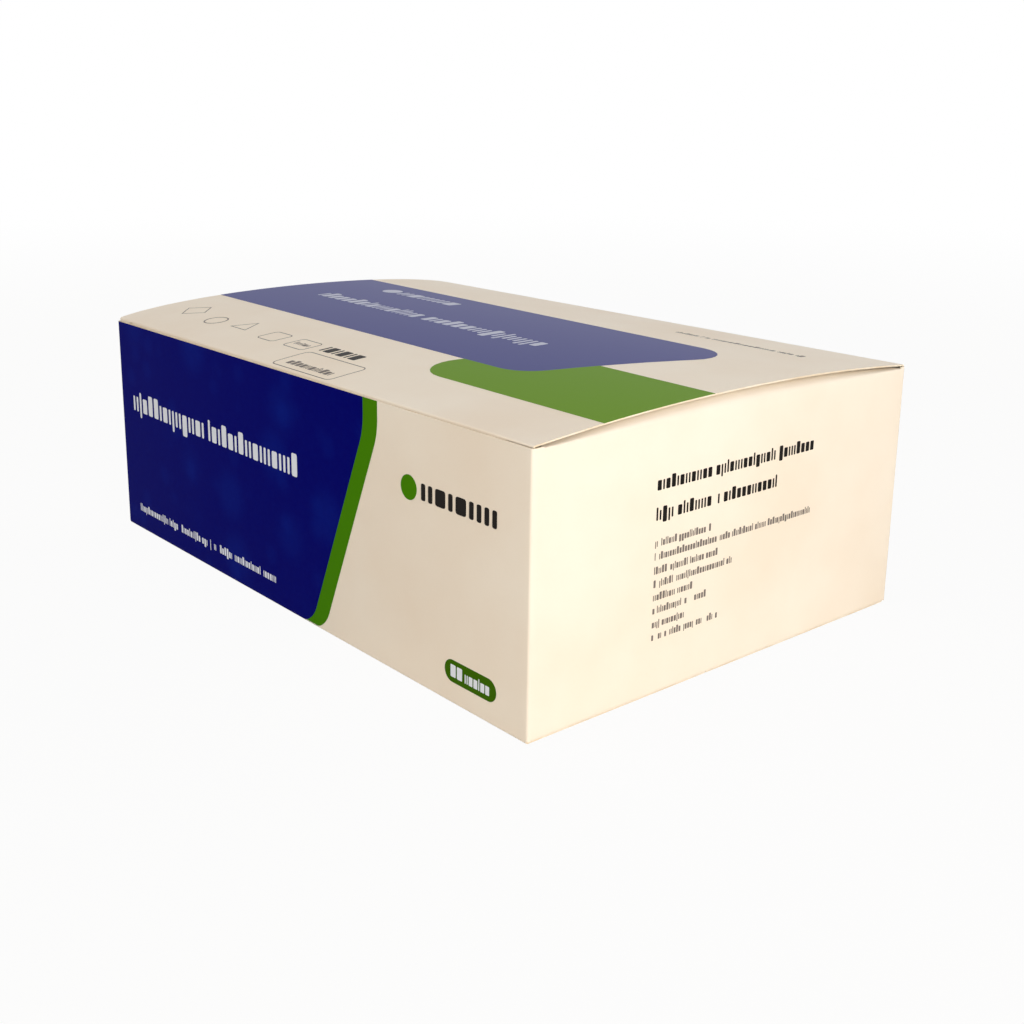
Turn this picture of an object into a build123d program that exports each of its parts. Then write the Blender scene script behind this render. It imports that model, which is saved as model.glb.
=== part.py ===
"""Folding carton with a hinged tuck lid, closed, its lid bowed up by the flaps under it.

Origin at the centre of the base, +Z up, the front long wall towards -Y, the hinge wall towards +Y.
Sizes are in millimetres.
"""

from build123d import *
import math
import os

os.makedirs("parts", exist_ok=True)

# Outside size of the box and the board that it is folded from
length = 205.0
width = 140.0
height = 70.0
board = 0.5
wall_corner_radius = 0.4

# Lid: how far its crease and its middle stand above the rim, at the left and right ends
lid_end_inset = 0.6
front_crease_lift_left = 0.7
front_crease_lift_right = 0.1
bow_left = 4.9
bow_right = 3.2
shoulder_left = 28.0
shoulder_right = 44.0

# Hinge along the top of the back wall
hinge_wall_rise = 0.2
hinge_gap = 0.1

# Tuck flap, which slides down behind the front wall, and the slits at its two ends
tuck_depth = 18.0
tuck_gap = 0.3
tuck_swing_margin = 0.3
tuck_corner_radius = 11.0
tuck_side_inset = 1.2
tuck_crease_radius = 0.4
slit_length = 9.0
slit_height = 0.45

# Dust flaps, folded in from the end walls under the lid
dust_flap_length = 62.0
dust_flap_front_gap = 3.0
dust_flap_back_gap = 1.5
dust_flap_taper = 9.0
dust_flap_corner_radius = 9.0
dust_flap_bend = 6.5
dust_flap_bend_steps = 4
dust_flap_lid_gap = 0.35
dust_flap_trim_margin = 0.1

# Glue seam inside the back left corner
glue_tab_width = 14.0
glue_tab_taper = 4.0
glue_tab_end_gap = 1.5

# Bottom: two long flaps that meet along a stepped seam, under two short flaps and a locking tongue
seam_width = 0.4
seam_step = 16.0
seam_step_length = 28.0
tongue_end_gap = 7.5
tongue_reach = 24.0
end_flap_length = 58.0
end_flap_taper = 24.0

# Print: each field is a thin layer set flush in the board's outer face
ink_depth = 0.25
ink_bed_gap = 0.02

# Print on the front wall, measured from its left edge and its top edge
slant = 0.425
blue_end_at_top = 141.3
blue_end_straight = 8.4
blue_top_radius = 20.0
blue_bottom_radius = 10.0
stripe_width = 6.2
badge_length = 19.2
badge_height = 5.8
badge_from_right = 20.8
badge_from_top = 61.3

# Print on the lid, measured from the middle of the box
lid_slant = 0.36
lid_blue_front = -31.5
lid_blue_back = 32.5
lid_blue_end = 66.2
lid_blue_radius = 12.0
lid_green_front = -48.0
lid_green_back = -10.2
lid_green_start = 26.1
lid_green_radius = 11.0

# Places that follow from the sizes above
half_length = length / 2
half_width = width / 2
lid_half_length = half_length - lid_end_inset
hinge_y = half_width - board / 2
hinge_z = height + hinge_wall_rise + hinge_gap + board / 2
tuck_y = -half_width + board + tuck_gap
tuck_lean = tuck_depth**2 / (2 * (hinge_y - tuck_y)) + tuck_swing_margin
tuck_tip_z = height - tuck_depth
tuck_half_length = lid_half_length - tuck_side_inset
above_all = height + max(bow_left, bow_right) * 3


def along_lid(left, right, x):
    """Read a size that changes evenly from the lid's left end to its right end."""
    share = (x + lid_half_length) / (2 * lid_half_length)
    return left + (right - left) * share


def crease_lift(x):
    """Give the front crease's height above the rim at one place along the lid."""
    return along_lid(front_crease_lift_left, front_crease_lift_right, x)


def bow_points(front, back, bow, shoulder):
    """Give the control points of an edge from front to back, its middle raised by bow."""
    rise = bow * 4 / 3
    return [
        front,
        (front[0] + shoulder, front[1] + rise),
        (back[0] - shoulder, back[1] + rise),
        back,
    ]


def lid_edge(x, front_y, offset):
    """Give the lid panel's curve at x, from its front crease to its hinge, offset in height."""
    front = (front_y, height + crease_lift(x) + offset)
    back = (hinge_y, hinge_z - board / 2 + offset)
    bow = along_lid(bow_left, bow_right, x)
    shoulder = along_lid(shoulder_left, shoulder_right, x)
    return bow_points(front, back, bow, shoulder)


def lid_section(x):
    """Draw the lid folded: the bowed panel, its round hinge edge and the tuck flap."""
    under = lid_edge(x, tuck_y + board, 0)
    over = lid_edge(x, tuck_y, board)
    with BuildSketch(Plane.YZ.offset(x)) as section:
        with BuildLine():
            Bezier(*over)
            ThreePointArc(over[-1], (half_width, hinge_z), under[-1])
            Bezier(*under)
            Polyline(
                under[0],
                (tuck_y + tuck_lean + board, tuck_tip_z),
                (tuck_y + tuck_lean, tuck_tip_z),
                over[0],
            )
        make_face()
    return section.sketch.face()


def lid_layer_section(x, bottom, top):
    """Draw a layer that follows the lid panel, between two heights above its underside."""
    under = lid_edge(x, tuck_y, bottom)
    over = lid_edge(x, tuck_y, top)
    with BuildSketch(Plane.YZ.offset(x)) as section:
        with BuildLine():
            Bezier(*over)
            Bezier(*under)
            Line(under[0], over[0])
            Line(under[-1], over[-1])
        make_face()
    return section.sketch.face()


def lid_layer_sections(bottom, top):
    """Draw such a layer at both ends of the lid."""
    return [lid_layer_section(x, bottom, top) for x in (-lid_half_length, lid_half_length)]


def dust_flap_edges(distance):
    """Give a dust flap's front and back edges at one distance in from its end wall."""
    taper = dust_flap_taper * distance / dust_flap_length
    front_y = -half_width + board + dust_flap_front_gap + taper
    back_y = half_width - board - dust_flap_back_gap - taper
    return front_y, back_y


def dust_flap_outline(side):
    """Draw a dust flap seen from above, its free corners rounded, with a margin to trim it to."""
    root_front, root_back = dust_flap_edges(0)
    tip_front, tip_back = dust_flap_edges(dust_flap_length)
    tip_x = side * (half_length - dust_flap_length)
    corners = [
        (side * half_length, root_front),
        (tip_x, tip_front),
        (tip_x, tip_back),
        (side * half_length, root_back),
    ]
    radii = [0, dust_flap_corner_radius, dust_flap_corner_radius, 0]
    with BuildSketch() as outline:
        with BuildLine():
            FilletPolyline(*corners, radius=radii, close=True)
        make_face()
        offset(amount=dust_flap_trim_margin)
    return outline.sketch


def dust_flap_section(side, distance, raised, thickness):
    """Draw a dust flap's section at one distance in from its end wall.

    raised is 0 at its root, half a board deep in the wall, and 1 where it lies under the lid.
    """
    x = side * (half_length - distance)
    front_y, back_y = dust_flap_edges(distance)
    full = lid_edge(max(-lid_half_length, min(lid_half_length, x)), tuck_y, -dust_flap_lid_gap)
    root_z = height - board / 2
    front = (front_y, root_z + (full[0][1] - root_z) * raised)
    back = (back_y, root_z + (full[-1][1] - root_z) * raised)
    bow = along_lid(bow_left, bow_right, x) * raised
    shoulder = along_lid(shoulder_left, shoulder_right, x)
    over = bow_points(front, back, bow, shoulder)
    under = [(y, z - thickness) for y, z in over]
    with BuildSketch(Plane.YZ.offset(x)) as section:
        with BuildLine():
            Bezier(*over)
            Bezier(*under)
            Line(under[0], over[0])
            Line(under[-1], over[-1])
        make_face()
    return section.sketch.face()


def front_point(from_left, from_top):
    """Turn a place on the front wall's print into X and Z."""
    return (from_left - half_length, height - from_top)


def front_outline(shift):
    """Draw the front wall's printed field: upright at the top, then slanted to a round corner."""
    end = blue_end_at_top + shift
    foot = end - slant * (height - blue_end_straight)
    corners = [
        front_point(wall_corner_radius, 0),
        front_point(end, 0),
        front_point(end, blue_end_straight),
        front_point(foot, height),
        front_point(wall_corner_radius, height),
    ]
    radii = [0, 0, blue_top_radius, blue_bottom_radius, 0]
    with BuildSketch() as outline:
        with BuildLine():
            FilletPolyline(*corners, radius=radii, close=True)
        make_face()
    return outline.sketch


def lid_blue_outline():
    """Draw the lid's blue field: from the left end to a slanted, rounded nose."""
    corners = [
        (-lid_half_length, lid_blue_front),
        (lid_blue_end + lid_slant * lid_blue_front, lid_blue_front),
        (lid_blue_end + lid_slant * lid_blue_back, lid_blue_back),
        (-lid_half_length, lid_blue_back),
    ]
    radii = [0, lid_blue_radius, lid_blue_radius, 0]
    with BuildSketch() as outline:
        with BuildLine():
            FilletPolyline(*corners, radius=radii, close=True)
        make_face()
    return outline.sketch


def lid_green_outline():
    """Draw the lid's green field: from a slanted, rounded start to the right end."""
    depth = lid_green_back - lid_green_front
    corners = [
        (lid_green_start, lid_green_front),
        (lid_half_length, lid_green_front),
        (lid_half_length, lid_green_back),
        (lid_green_start + lid_slant * depth, lid_green_back),
    ]
    radii = [lid_green_radius, 0, 0, 0]
    with BuildSketch() as outline:
        with BuildLine():
            FilletPolyline(*corners, radius=radii, close=True)
        make_face()
    return outline.sketch


# Shallow beds for the print, cut into the front wall and the lid
with BuildPart() as front_print_bed:
    with BuildSketch(Plane.XZ.offset(half_width)):
        add(front_outline(stripe_width))
        with Locations(front_point(length - badge_from_right, badge_from_top)):
            SlotOverall(badge_length, badge_height)
    extrude(amount=-ink_depth - ink_bed_gap)

with BuildPart() as lid_print_bed:
    loft(sections=lid_layer_sections(board - ink_depth - ink_bed_gap, 2 * board), ruled=True)
    with BuildSketch():
        add(lid_blue_outline())
        add(lid_green_outline())
    extrude(amount=above_all, mode=Mode.INTERSECT)

# Carton: four walls, glue seam, bottom and dust flaps, one folded and glued board
with BuildPart() as carton_body:
    with BuildSketch():
        RectangleRounded(length, width, wall_corner_radius)
        Rectangle(length - 2 * board, width - 2 * board, mode=Mode.SUBTRACT)
    extrude(amount=height)

    # Back wall's top, a little above the rim, rounded where the lid folds
    with BuildSketch(Plane.YZ):
        with BuildLine():
            Polyline(
                (hinge_y - board / 2, height + hinge_wall_rise - board / 2),
                (hinge_y - board / 2, height - board),
                (hinge_y + board / 2, height - board),
                (hinge_y + board / 2, height + hinge_wall_rise - board / 2),
            )
            ThreePointArc(
                (hinge_y + board / 2, height + hinge_wall_rise - board / 2),
                (hinge_y, height + hinge_wall_rise),
                (hinge_y - board / 2, height + hinge_wall_rise - board / 2),
            )
        make_face()
    extrude(amount=half_length - wall_corner_radius, both=True)

    # Bottom, outer layer: two long flaps with a stepped seam between them
    with BuildSketch():
        Rectangle(length - board, width - board)
        with BuildLine():
            seam = Polyline(
                (-half_length + board, seam_step / 2),
                (-seam_step_length / 2, seam_step / 2),
                (seam_step_length / 2, -seam_step / 2),
                (half_length - board, -seam_step / 2),
            )
        trace(seam, seam_width, mode=Mode.SUBTRACT)
    extrude(amount=board)

    # Bottom, inner layer: the short end flaps and the tongue that locks the long flaps
    with BuildSketch(Plane.XY.offset(board)):
        Rectangle(2 * (half_length - end_flap_length - tongue_end_gap), tongue_reach)
        for side in (-1, 1):
            with BuildLine():
                Polyline(
                    (side * (half_length - board / 2), -half_width + board),
                    (side * (half_length - end_flap_length), -half_width + board + end_flap_taper),
                    (side * (half_length - end_flap_length), half_width - board - end_flap_taper),
                    (side * (half_length - board / 2), half_width - board),
                    close=True,
                )
            make_face()
    extrude(amount=board)

    # Glue tab of the back wall, inside the left end wall
    with BuildSketch(Plane.YZ.offset(-half_length + board)):
        with BuildLine():
            Polyline(
                (hinge_y, 2 * board + glue_tab_end_gap),
                (hinge_y, height - 2 * board - glue_tab_end_gap),
                (hinge_y - glue_tab_width, height - 2 * board - glue_tab_end_gap - glue_tab_taper),
                (hinge_y - glue_tab_width, 2 * board + glue_tab_end_gap + glue_tab_taper),
                close=True,
            )
        make_face()
    extrude(amount=board)

    # Dust flaps: a round fold up from each end wall, then flat under the lid
    for side in (-1, 1):
        sections = []
        for step in range(dust_flap_bend_steps + 1):
            angle = step / dust_flap_bend_steps * math.pi / 2
            distance = board / 2 + (dust_flap_bend - board / 2) * (1 - math.cos(angle))
            raised = math.sin(angle)
            sections.append(dust_flap_section(side, distance, raised, board * (3 - 2 * raised)))
        sections.append(dust_flap_section(side, dust_flap_length, 1, board))
        loft(sections=sections, ruled=True)
        with BuildSketch(Plane.XY.offset(height - 4 * board)):
            with Locations((side * (half_length - dust_flap_length + dust_flap_corner_radius), 0)):
                Rectangle(2 * dust_flap_corner_radius + board, width - 2 * board)
            add(dust_flap_outline(side), mode=Mode.SUBTRACT)
        extrude(amount=above_all - height, mode=Mode.SUBTRACT)

    add(front_print_bed.part, mode=Mode.SUBTRACT)

carton_body.part.label = "carton_body"
export_step(carton_body.part, "parts/carton_body.step")

# Lid: bowed panel and tuck flap, one bent board
with BuildPart() as lid:
    loft(sections=[lid_section(-lid_half_length), lid_section(lid_half_length)], ruled=True)
    crease = lid.edges().sort_by(Axis.Y)[0:1]
    fillet(crease, tuck_crease_radius)

    # Slits that part the panel's front corners from the tuck flap, and the flap's round corners
    for side in (-1, 1):
        slit_top = height + crease_lift(side * lid_half_length)
        slit_bottom = slit_top - slit_height
        slit_start = side * (lid_half_length - slit_length / 2)
        with BuildSketch(Plane.XZ.offset(half_width)):
            with Locations((slit_start + side * board, slit_top - slit_height / 2)):
                Rectangle(slit_length + 2 * board, slit_height)
            with Locations((side * (tuck_half_length + board), (slit_bottom + tuck_tip_z) / 2)):
                Rectangle(4 * tuck_corner_radius, slit_bottom - tuck_tip_z + 2 * board)
            with BuildLine():
                FilletPolyline(
                    (-tuck_half_length, slit_bottom),
                    (-tuck_half_length, tuck_tip_z),
                    (tuck_half_length, tuck_tip_z),
                    (tuck_half_length, slit_bottom),
                    radius=[0, tuck_corner_radius, tuck_corner_radius, 0],
                    close=True,
                )
            make_face(mode=Mode.SUBTRACT)
        extrude(amount=-(tuck_gap + 2 * board + tuck_lean + board), mode=Mode.SUBTRACT)

    add(lid_print_bed.part, mode=Mode.SUBTRACT)

lid.part.label = "lid"
export_step(lid.part, "parts/lid.step")

# Print on the front wall: blue field, green stripe along its end, green badge
with BuildPart() as front_blue_field:
    with BuildSketch(Plane.XZ.offset(half_width)):
        add(front_outline(0))
    extrude(amount=-ink_depth)

front_blue_field.part.label = "front_blue_field"
export_step(front_blue_field.part, "parts/front_blue_field.step")

with BuildPart() as front_green_stripe:
    with BuildSketch(Plane.XZ.offset(half_width)):
        add(front_outline(stripe_width))
        add(front_outline(0), mode=Mode.SUBTRACT)
    extrude(amount=-ink_depth)

front_green_stripe.part.label = "front_green_stripe"
export_step(front_green_stripe.part, "parts/front_green_stripe.step")

with BuildPart() as front_badge:
    with BuildSketch(Plane.XZ.offset(half_width)):
        with Locations(front_point(length - badge_from_right, badge_from_top)):
            SlotOverall(badge_length, badge_height)
    extrude(amount=-ink_depth)

front_badge.part.label = "front_badge"
export_step(front_badge.part, "parts/front_badge.step")

# Print on the lid: blue field from the left end, green field beside it to the right end
with BuildPart() as lid_blue_field:
    loft(sections=lid_layer_sections(board - ink_depth, board), ruled=True)
    with BuildSketch():
        add(lid_blue_outline())
    extrude(amount=above_all, mode=Mode.INTERSECT)

lid_blue_field.part.label = "lid_blue_field"
export_step(lid_blue_field.part, "parts/lid_blue_field.step")

with BuildPart() as lid_green_field:
    loft(sections=lid_layer_sections(board - ink_depth, board), ruled=True)
    with BuildSketch():
        add(lid_green_outline())
        add(lid_blue_outline(), mode=Mode.SUBTRACT)
    extrude(amount=above_all, mode=Mode.INTERSECT)

lid_green_field.part.label = "lid_green_field"
export_step(lid_green_field.part, "parts/lid_green_field.step")
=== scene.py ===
"""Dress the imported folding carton: its board, its bowed tuck lid, its print and a plain studio.

Sizes are in millimetres, and are turned to metres where a mesh or a light is made.
"""

import logging
import math
from collections.abc import Callable
from collections.abc import Iterable
from dataclasses import asdict
from dataclasses import dataclass
from dataclasses import field
from dataclasses import fields
from enum import Enum

import bmesh
import bpy
from mathutils import Matrix


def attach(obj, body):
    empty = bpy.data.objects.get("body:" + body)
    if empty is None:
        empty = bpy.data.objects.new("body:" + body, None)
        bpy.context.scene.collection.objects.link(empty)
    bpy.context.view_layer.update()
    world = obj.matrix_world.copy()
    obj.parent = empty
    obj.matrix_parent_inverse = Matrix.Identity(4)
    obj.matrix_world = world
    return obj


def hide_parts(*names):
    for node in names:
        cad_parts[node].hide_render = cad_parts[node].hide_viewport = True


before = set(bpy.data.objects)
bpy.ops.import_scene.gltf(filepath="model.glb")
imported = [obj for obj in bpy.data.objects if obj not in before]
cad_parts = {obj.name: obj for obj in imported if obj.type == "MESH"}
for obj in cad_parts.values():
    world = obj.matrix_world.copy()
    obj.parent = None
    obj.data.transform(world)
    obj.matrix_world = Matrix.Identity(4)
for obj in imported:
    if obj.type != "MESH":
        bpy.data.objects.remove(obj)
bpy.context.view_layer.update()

MM = 0.001
LOG = logging.getLogger("carton")

Point = tuple[float, float]
Place = tuple[float, float, float]
Surface = Callable[[float, float, float], Place]


class Body(Enum):
    """The two bodies of the carton."""

    CARTON = "carton"
    LID = "lid"


class Slot(Enum):
    """The record's material slots."""

    BOARD = "board"
    BLUE = "blue_print"
    GREEN = "green_print"


class Level(Enum):
    """How far a layer's top lies under the box's outside, in millimetres."""

    FOOT = -0.09
    BOARD = -0.08
    UNDERPRINT = -0.05
    FIELD = -0.03
    WORDS = 0.0


# Shared sizes of the folded box, the same as in the part's source
LENGTH = 205.0
WIDTH = 140.0
HEIGHT = 70.0
BOARD = 0.5
HALF_LENGTH = LENGTH / 2
HALF_WIDTH = WIDTH / 2
LID_HALF_LENGTH = 101.9
HINGE_Y = 69.75
HINGE_Z = 70.55
CREASE_RADIUS = 0.8
CREASE_STEPS = 6

# The lid's front crease, and its curve's values at the lid's left and right ends
LID_FRONT_Y = -69.2
LID_LIFT: Point = (0.7, 0.1)
LID_BOW: Point = (4.9, 3.2)
LID_SHOULDER: Point = (28.0, 44.0)

# How often the search for a place on a curve halves its range
HALVINGS = 26


def linear(code: str) -> tuple[float, float, float, float]:
    """Turn an sRGB hex value into a linear colour.

    Args:
        code: six hex digits.

    Returns:
        Red, green, blue and alpha.
    """
    channels = []
    for start in (0, 2, 4):
        share = int(code[start : start + 2], 16) / 255
        channels.append(share / 12.92 if share <= 0.04045 else ((share + 0.055) / 1.055) ** 2.4)
    return (*channels, 1.0)


def add_node(
    tree: bpy.types.NodeTree,
    kind: str,
    settings: dict | None = None,
    links: dict | None = None,
) -> bpy.types.Node:
    """Add a node with its settings and its links.

    Args:
        tree: the tree that gets the node.
        kind: the node's type.
        settings: values by the name of a property, or by the name or number of an input.
        links: outputs of other nodes, by the name or number of an input.

    Returns:
        The node.
    """
    node = tree.nodes.new(kind)
    for name, value in (settings or {}).items():
        if isinstance(name, str) and hasattr(node, name):
            setattr(node, name, value)
        else:
            node.inputs[name].default_value = value
    for name, output in (links or {}).items():
        tree.links.new(output, node.inputs[name])
    return node


def bezier(points: list[Point], share: float) -> Point:
    """Give the point of a cubic Bezier curve at one share of its way.

    Args:
        points: its four control points.
        share: from 0, its start, to 1, its end.

    Returns:
        The point.
    """
    rest = 1 - share
    weights = (rest**3, 3 * rest * rest * share, 3 * rest * share * share, share**3)
    first = sum(weight * point[0] for weight, point in zip(weights, points))
    second = sum(weight * point[1] for weight, point in zip(weights, points))
    return first, second


def bezier_height(points: list[Point], y: float) -> float:
    """Give the height of a curve from front to back at one Y.

    Args:
        points: its four control points, as Y and Z.
        y: the place.

    Returns:
        The height, Z.
    """
    low, high = 0.0, 1.0
    for _ in range(HALVINGS):
        middle = (low + high) / 2
        if bezier(points, middle)[0] < y:
            low = middle
        else:
            high = middle
    return bezier(points, (low + high) / 2)[1]


def bow_points(front: Point, back: Point, bow: float, shoulder: float) -> list[Point]:
    """Give the control points of a curve from front to back, its middle raised.

    Args:
        front: its start, as Y and Z.
        back: its end.
        bow: how far the middle is raised.
        shoulder: how far in from each end the curve is held.

    Returns:
        Four points, as Y and Z.
    """
    # A cubic curve's middle rises by three quarters of its two middle points' rise
    rise = bow * 4 / 3
    return [
        front,
        (front[0] + shoulder, front[1] + rise),
        (back[0] - shoulder, back[1] + rise),
        back,
    ]


def rounded(corners: list[Point], radii: list[float], steps: int = 8) -> list[Point]:
    """Round a closed outline's corners.

    Args:
        corners: its corners, anticlockwise.
        radii: a radius for each corner, 0 where it stays sharp.
        steps: how many pieces an arc has.

    Returns:
        The outline's points.
    """
    outline = []
    for index, (corner, radius) in enumerate(zip(corners, radii)):
        if radius == 0:
            outline.append(corner)
            continue
        before, after = corners[index - 1], corners[(index + 1) % len(corners)]
        towards = []
        for other in (before, after):
            reach = math.dist(corner, other)
            towards.append(((other[0] - corner[0]) / reach, (other[1] - corner[1]) / reach))
        cosine = towards[0][0] * towards[1][0] + towards[0][1] * towards[1][1]
        half = math.acos(cosine) / 2
        reach = radius / math.tan(half)
        middle = (towards[0][0] + towards[1][0], towards[0][1] + towards[1][1])
        size = math.hypot(*middle)
        out = radius / math.sin(half) / size
        centre = (corner[0] + middle[0] * out, corner[1] + middle[1] * out)
        ends = [(corner[0] + way[0] * reach, corner[1] + way[1] * reach) for way in towards]
        angles = [math.atan2(end[1] - centre[1], end[0] - centre[0]) for end in ends]
        turn = (angles[1] - angles[0] + math.pi) % math.tau - math.pi
        for step in range(steps + 1):
            angle = angles[0] + turn * step / steps
            outline.append(
                (centre[0] + radius * math.cos(angle), centre[1] + radius * math.sin(angle))
            )
    return outline


@dataclass
class Flat:
    """A flat shape, drawn as it is seen from outside: right and up."""

    points: list[Point] = field(default_factory=list)
    faces: list[list[int]] = field(default_factory=list)

    def add(self, other: "Flat", right: float = 0.0, up: float = 0.0) -> None:
        """Take in another shape, moved.

        Args:
            other: the shape.
            right: how far it moves to the right.
            up: how far it moves up.
        """
        count = len(self.points)
        self.points += [(point[0] + right, point[1] + up) for point in other.points]
        self.faces += [[index + count for index in face] for face in other.faces]

    def add_outline(self, outline: list[Point]) -> None:
        """Take in one face with this outline."""
        self.add(Flat(outline, [list(range(len(outline)))]))

    def add_band(self, outer: list[Point], inner: list[Point], closed: bool = True) -> None:
        """Take in a band between two lines of as many points.

        Args:
            outer: the line on its right, or outside.
            inner: the line on its left, or inside.
            closed: whether the band's ends meet.
        """
        count = len(outer)
        steps = count if closed else count - 1
        faces = []
        for step in range(steps):
            after = (step + 1) % count
            faces.append([step, after, after + count, step + count])
        self.add(Flat(outer + inner, faces))


def cut_to_grid(outline: list[Point], right_cuts: list[float], up_cuts: list[float]) -> Flat:
    """Fill an outline with faces that are small enough to follow a curved board.

    Args:
        outline: the outline, anticlockwise.
        right_cuts: places of the upright cuts.
        up_cuts: places of the level cuts.

    Returns:
        The shape.
    """
    grid = bmesh.new()
    grid.faces.new([grid.verts.new((point[0], point[1], 0)) for point in outline])
    for normal, cuts in (((1, 0, 0), right_cuts), ((0, 1, 0), up_cuts)):
        for cut in cuts:
            everything = grid.verts[:] + grid.edges[:] + grid.faces[:]
            bmesh.ops.bisect_plane(
                grid, geom=everything, dist=1e-4, plane_co=(cut, cut, 0), plane_no=normal
            )
    grid.verts.index_update()
    shape = Flat(
        [(corner.co.x, corner.co.y) for corner in grid.verts],
        [[corner.index for corner in face.verts] for face in grid.faces],
    )
    grid.free()
    return shape


def circle(centre: Point, radius: float, steps: int = 40, turn: float = 0.0) -> list[Point]:
    """Give a regular outline's points, anticlockwise.

    Args:
        centre: its middle.
        radius: from its middle to a corner.
        steps: how many corners it has.
        turn: where its first corner is, in degrees.

    Returns:
        The points.
    """
    points = []
    for step in range(steps):
        angle = math.radians(turn) + math.tau * step / steps
        points.append((centre[0] + radius * math.cos(angle), centre[1] + radius * math.sin(angle)))
    return points


def divide(outer: list[Point], inner: list[Point]) -> tuple[list[Point], list[Point]]:
    """Divide two closed lines' sides alike, so that the band between them follows a bowed board.

    Args:
        outer: the outside line.
        inner: the inside line, with as many points.

    Returns:
        Both lines, with more points on their long sides.
    """
    longest = 1.5
    divided = ([], [])
    for index in range(len(outer)):
        pieces = math.ceil(math.dist(outer[index - 1], outer[index]) / longest)
        for line, points in zip((outer, inner), divided):
            start, end = line[index - 1], line[index]
            for step in range(1, pieces + 1):
                share = step / pieces
                right = start[0] + (end[0] - start[0]) * share
                up = start[1] + (end[1] - start[1]) * share
                points.append((right, up))
    return divided


@dataclass(frozen=True)
class Mark:
    """A plain mark with equal sides, drawn in outline: its inner corners lie one inset in."""

    centre: Point
    corners: int
    radius: float
    inset: float

    def band(self) -> Flat:
        """Draw the mark.

        Returns:
            Its outline as a flat band.
        """
        outer = circle(self.centre, self.radius, self.corners, turn=90.0)
        inner = circle(self.centre, self.radius - self.inset, self.corners, turn=90.0)
        band = Flat()
        band.add_band(*divide(outer, inner))
        return band


@dataclass(frozen=True)
class BoxMark:
    """A plain rounded box, drawn in outline: its outside sizes and the line's width."""

    centre: Point
    width: float
    depth: float
    radius: float
    line: float = 0.32

    def band(self) -> Flat:
        """Draw the box.

        Returns:
            Its outline as a flat band.
        """
        lines = []
        for inset in (0.0, self.line):
            half_x, half_y = self.width / 2 - inset, self.depth / 2 - inset
            corners = [(-half_x, -half_y), (half_x, -half_y), (half_x, half_y), (-half_x, half_y)]
            points = rounded(corners, [self.radius - inset] * 4, steps=5)
            lines.append([(self.centre[0] + x, self.centre[1] + y) for x, y in points])
        band = Flat()
        band.add_band(*divide(*lines))
        return band


def spread(start: float, end: float, step: float) -> list[float]:
    """Give evenly spread places between two ends, the ends left out."""
    count = max(1, round(abs(end - start) / step))
    return [start + (end - start) * index / count for index in range(1, count)]


def film(flat: Flat, surface: Surface, top: Level) -> tuple[list[Place], list[list[int]]]:
    """Lay a flat shape on a surface as a closed film of print.

    Args:
        flat: the shape.
        surface: turns right, up and level into a place on the box.
        top: how high the film's top lies.

    Returns:
        Points and faces.
    """
    count = len(flat.points)
    points = [surface(*point, top.value) for point in flat.points]
    points += [surface(*point, Level.FOOT.value) for point in flat.points]
    faces = [list(face) for face in flat.faces]
    faces += [[index + count for index in reversed(face)] for face in flat.faces]
    edges = [(face[step - 1], face[step]) for face in flat.faces for step in range(len(face))]
    known = set(edges)
    for start, end in edges:
        if (end, start) not in known:
            faces.append([end, start, start + count, end + count])
    return points, faces


@dataclass
class Sheet:
    """A folded board's outer side, made of patches that share their edges."""

    points: list[Place] = field(default_factory=list)
    faces: list[list[int]] = field(default_factory=list)
    known: dict[Place, int] = field(default_factory=dict)

    def index(self, place: Place) -> int:
        """Give the number of the point at a place, and make it if it is new.

        Args:
            place: where the point lies.

        Returns:
            The point's number.
        """
        key = tuple(round(value, 3) for value in place)
        if key not in self.known:
            self.known[key] = len(self.points)
            self.points.append(place)
        return self.known[key]

    def patch(
        self, rows: list[list[Place]], skip: Callable[[int, int], bool] | None = None
    ) -> None:
        """Add a patch.

        Args:
            rows: points from left to right, row by row upwards, as seen from outside.
            skip: says which cells, by row and column, are left open.
        """
        for row in range(len(rows) - 1):
            for column in range(len(rows[row]) - 1):
                if skip and skip(row, column):
                    continue
                ring = [
                    self.index(rows[row][column]),
                    self.index(rows[row][column + 1]),
                    self.index(rows[row + 1][column + 1]),
                    self.index(rows[row + 1][column]),
                ]
                face = [index for step, index in enumerate(ring) if index != ring[step - 1]]
                if len(set(face)) == len(face) and len(face) > 2:
                    self.faces.append(face)


def make_mesh(name: str, points: list[Place], faces: list[list[int]]) -> bpy.types.Mesh:
    """Make a mesh from points in millimetres.

    Args:
        name: its name.
        points: its points.
        faces: its faces, as numbers of points.

    Returns:
        The mesh.
    """
    mesh = bpy.data.meshes.new(name)
    mesh.from_pydata([tuple(value * MM for value in point) for point in points], [], faces)
    mesh.validate()
    return mesh


def settle(holder: bpy.types.Object, name: str) -> bpy.types.Mesh:
    """Turn an object's modifiers into a plain mesh and remove the object.

    Args:
        holder: the object with its modifiers.
        name: the mesh's name.

    Returns:
        The plain mesh.
    """
    bpy.context.view_layer.update()
    graph = bpy.context.evaluated_depsgraph_get()
    mesh = bpy.data.meshes.new_from_object(holder.evaluated_get(graph))
    mesh.name = name
    bpy.data.objects.remove(holder)
    return mesh


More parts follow.
